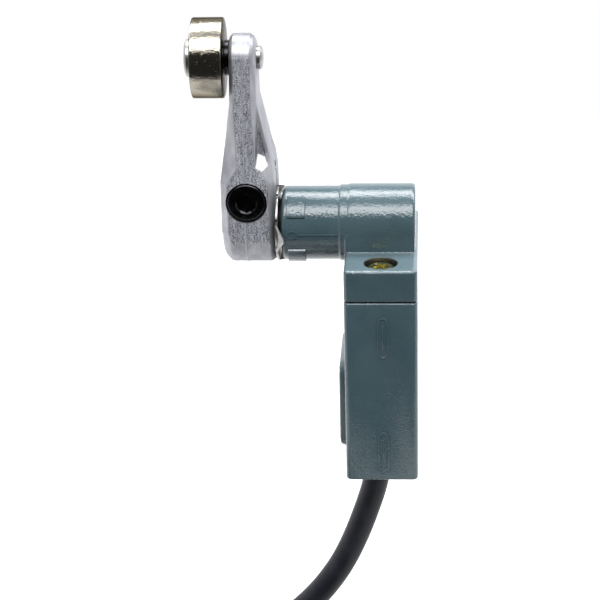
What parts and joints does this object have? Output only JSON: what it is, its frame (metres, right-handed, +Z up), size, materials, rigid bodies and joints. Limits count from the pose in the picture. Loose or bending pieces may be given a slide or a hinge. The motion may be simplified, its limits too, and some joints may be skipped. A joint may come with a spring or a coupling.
{
  "type": "limit switch",
  "caption": "Compact prewired limit switch: flat die-cast case, side rotary head, clamped roller lever and a short cable wound in a coil.",
  "frame": {"origin": "middle of the two mounting holes, on the back face of the case", "axes": "+X out of the back face towards the panel, +Z up along the case towards the lever, +Y across the case"},
  "size_m": [0.0862, 0.1112, 0.1582],
  "materials": {
    "teal_paint": "smooth gloss enamel on a die casting, dark grey-green",
    "raw_casting": "as cast, grainy, bright on the trimmed bevels",
    "sintered_steel": "pressed and sintered, polished rim, warm tint",
    "bright_steel": "bright plated",
    "black_steel": "black oxide",
    "yellow_zinc": "yellow passivated zinc",
    "bronze": "plain",
    "silver": "plain",
    "black_rubber": "matt",
    "cable_jacket": "satin, extruded",
    "white_plastic": "moulded",
    "brown_plastic": "moulded phenolic",
    "resin": "cast epoxy",
    "label_foil": "blank printed foil",
    "tie_nylon": "moulded nylon",
    "lead_grey": "insulation",
    "lead_black": "insulation",
    "lead_white": "insulation",
    "lead_red": "insulation",
    "lead_green": "insulation",
    "bare_copper": "stranded, tinned lightly"
  },
  "bodies": {
    "casing": {"body_housing": "teal_paint", "head_casting": "teal_paint", "head_gasket": "black_rubber", "head_screws": "yellow_zinc", "head_screw_washers": "yellow_zinc", "rating_label": "label_foil", "nose_bush": "bronze", "shaft_seal": "black_rubber", "plunger_spring": "bright_steel", "guide_plate": "bright_steel", "plunger_seal": "black_rubber", "switch_case": "brown_plastic", "switch_cover": "brown_plastic", "bridge_spring": "bright_steel", "closed_contacts": "bronze", "open_contacts": "bronze", "inner_leads": "lead_grey", "potting": "resin", "cable_grommet": "black_rubber", "cable_held_end": "cable_jacket", "cable": "cable_jacket", "cable_coil": "cable_jacket", "cable_tail": "cable_jacket", "lead_tips": "bare_copper", "coil_ties": "tie_nylon", "lead_black": "lead_black", "lead_white": "lead_white", "lead_red": "lead_red", "lead_green": "lead_green"},
    "lever": {"actuator_shaft": "bright_steel", "cam": "sintered_steel", "cam_pin": "bright_steel", "shaft_clip": "black_steel", "lever_arm": "raw_casting", "lever_clamp_screw": "black_steel", "tab_washer": "bright_steel", "roller_pin": "bright_steel", "roller_spacer": "black_steel"},
    "roller": {"roller": "sintered_steel"},
    "plunger": {"plunger": "white_plastic"},
    "button": {"switch_button": "white_plastic"},
    "bridge": {"contact_bridge": "bronze", "bridge_contacts": "silver"}
  },
  "joints": [
    {"name": "lever_swing", "type": "hinge", "parent": "casing", "child": "lever", "pos_m": [-0.03, 0, 0.021], "axis": [1, 0, 0], "range_deg": [-70, 70], "stiffness_Nm_per_rad": 0.3},
    {"name": "roller_spin", "type": "hinge", "parent": "lever", "child": "roller", "pos_m": [-0.0452, 0, 0.059], "axis": [1, 0, 0], "continuous": true},
    {"name": "plunger_travel", "type": "slide", "parent": "casing", "child": "plunger", "axis": [0, 0, -1], "range_m": [0, 0.0015], "stiffness_N_per_m": 1000, "springref_m": -0.001, "deforming": ["plunger_spring"]},
    {"name": "button_travel", "type": "slide", "parent": "casing", "child": "button", "axis": [0, 0, -1], "range_m": [0, 0.0015]},
    {"name": "bridge_travel", "type": "slide", "parent": "casing", "child": "bridge", "axis": [0, 0, -1], "range_m": [0, 0.001], "deforming": ["bridge_spring"]}
  ],
  "couplings": [
    {"joint": "button_travel", "follows": "plunger_travel", "ratio": 1},
    {"joint": "bridge_travel", "follows": "plunger_travel", "ratio": 0.6667}
  ]
}
